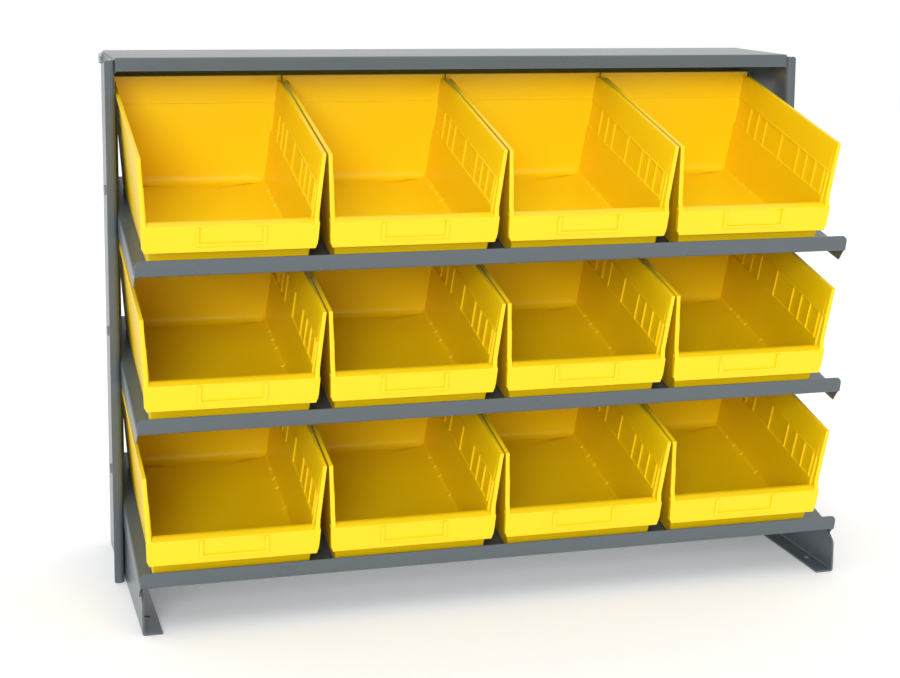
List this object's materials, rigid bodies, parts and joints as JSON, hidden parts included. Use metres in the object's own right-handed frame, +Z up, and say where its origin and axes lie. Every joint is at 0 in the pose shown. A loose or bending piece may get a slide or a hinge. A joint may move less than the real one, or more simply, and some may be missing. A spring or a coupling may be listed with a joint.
{
  "type": "bench bin rack",
  "caption": "Steel bench rack with a flat top and sloped shelves that hold open-fronted yellow plastic bins for small parts, on two feet with anchor holes",
  "frame": {"origin": "on the bench, midway between the four anchor holes of the feet", "axes": "+X to the right along the shelves as seen from the front, +Y to the back, +Z up"},
  "size_m": [0.914, 0.3852, 0.659],
  "materials": {
    "grey_paint": "satin grey powder coat",
    "yellow_plastic": "smooth injection-moulded yellow polypropylene",
    "zinc_steel": "bright zinc plate"
  },
  "bodies": {
    "rack": {"left_upright": "grey_paint", "right_upright": "grey_paint", "top_shelf": "grey_paint", "upper_shelf": "grey_paint", "middle_shelf": "grey_paint", "lower_shelf": "grey_paint", "left_foot": "grey_paint", "right_foot": "grey_paint", "top_shelf_bolts": "zinc_steel", "top_shelf_nuts": "zinc_steel", "upper_shelf_bolts": "zinc_steel", "upper_shelf_nuts": "zinc_steel", "middle_shelf_bolts": "zinc_steel", "middle_shelf_nuts": "zinc_steel", "lower_shelf_bolts": "zinc_steel", "lower_shelf_nuts": "zinc_steel"},
    "lower_bin_1_body": {"lower_bin_1": "yellow_plastic"},
    "lower_bin_2_body": {"lower_bin_2": "yellow_plastic"},
    "lower_bin_3_body": {"lower_bin_3": "yellow_plastic"},
    "lower_bin_4_body": {"lower_bin_4": "yellow_plastic"},
    "middle_bin_1_body": {"middle_bin_1": "yellow_plastic"},
    "middle_bin_2_body": {"middle_bin_2": "yellow_plastic"},
    "middle_bin_3_body": {"middle_bin_3": "yellow_plastic"},
    "middle_bin_4_body": {"middle_bin_4": "yellow_plastic"},
    "upper_bin_1_body": {"upper_bin_1": "yellow_plastic"},
    "upper_bin_2_body": {"upper_bin_2": "yellow_plastic"},
    "upper_bin_3_body": {"upper_bin_3": "yellow_plastic"},
    "upper_bin_4_body": {"upper_bin_4": "yellow_plastic"}
  },
  "joints": [
    {"name": "lower_bin_1_lift", "type": "slide", "parent": "rack", "child": "lower_bin_1_body", "axis": [0, -0.225, 0.9744], "range_m": [0, 0.0205]},
    {"name": "lower_bin_2_lift", "type": "slide", "parent": "rack", "child": "lower_bin_2_body", "axis": [0, -0.225, 0.9744], "range_m": [0, 0.0205]},
    {"name": "lower_bin_3_lift", "type": "slide", "parent": "rack", "child": "lower_bin_3_body", "axis": [0, -0.225, 0.9744], "range_m": [0, 0.0205]},
    {"name": "lower_bin_4_lift", "type": "slide", "parent": "rack", "child": "lower_bin_4_body", "axis": [0, -0.225, 0.9744], "range_m": [0, 0.0205]},
    {"name": "middle_bin_1_lift", "type": "slide", "parent": "rack", "child": "middle_bin_1_body", "axis": [0, -0.225, 0.9744], "range_m": [0, 0.0205]},
    {"name": "middle_bin_2_lift", "type": "slide", "parent": "rack", "child": "middle_bin_2_body", "axis": [0, -0.225, 0.9744], "range_m": [0, 0.0205]},
    {"name": "middle_bin_3_lift", "type": "slide", "parent": "rack", "child": "middle_bin_3_body", "axis": [0, -0.225, 0.9744], "range_m": [0, 0.0205]},
    {"name": "middle_bin_4_lift", "type": "slide", "parent": "rack", "child": "middle_bin_4_body", "axis": [0, -0.225, 0.9744], "range_m": [0, 0.0205]},
    {"name": "upper_bin_1_lift", "type": "slide", "parent": "rack", "child": "upper_bin_1_body", "axis": [0, -0.225, 0.9744], "range_m": [0, 0.0205]},
    {"name": "upper_bin_2_lift", "type": "slide", "parent": "rack", "child": "upper_bin_2_body", "axis": [0, -0.225, 0.9744], "range_m": [0, 0.0205]},
    {"name": "upper_bin_3_lift", "type": "slide", "parent": "rack", "child": "upper_bin_3_body", "axis": [0, -0.225, 0.9744], "range_m": [0, 0.0205]},
    {"name": "upper_bin_4_lift", "type": "slide", "parent": "rack", "child": "upper_bin_4_body", "axis": [0, -0.225, 0.9744], "range_m": [0, 0.0205]}
  ]
}
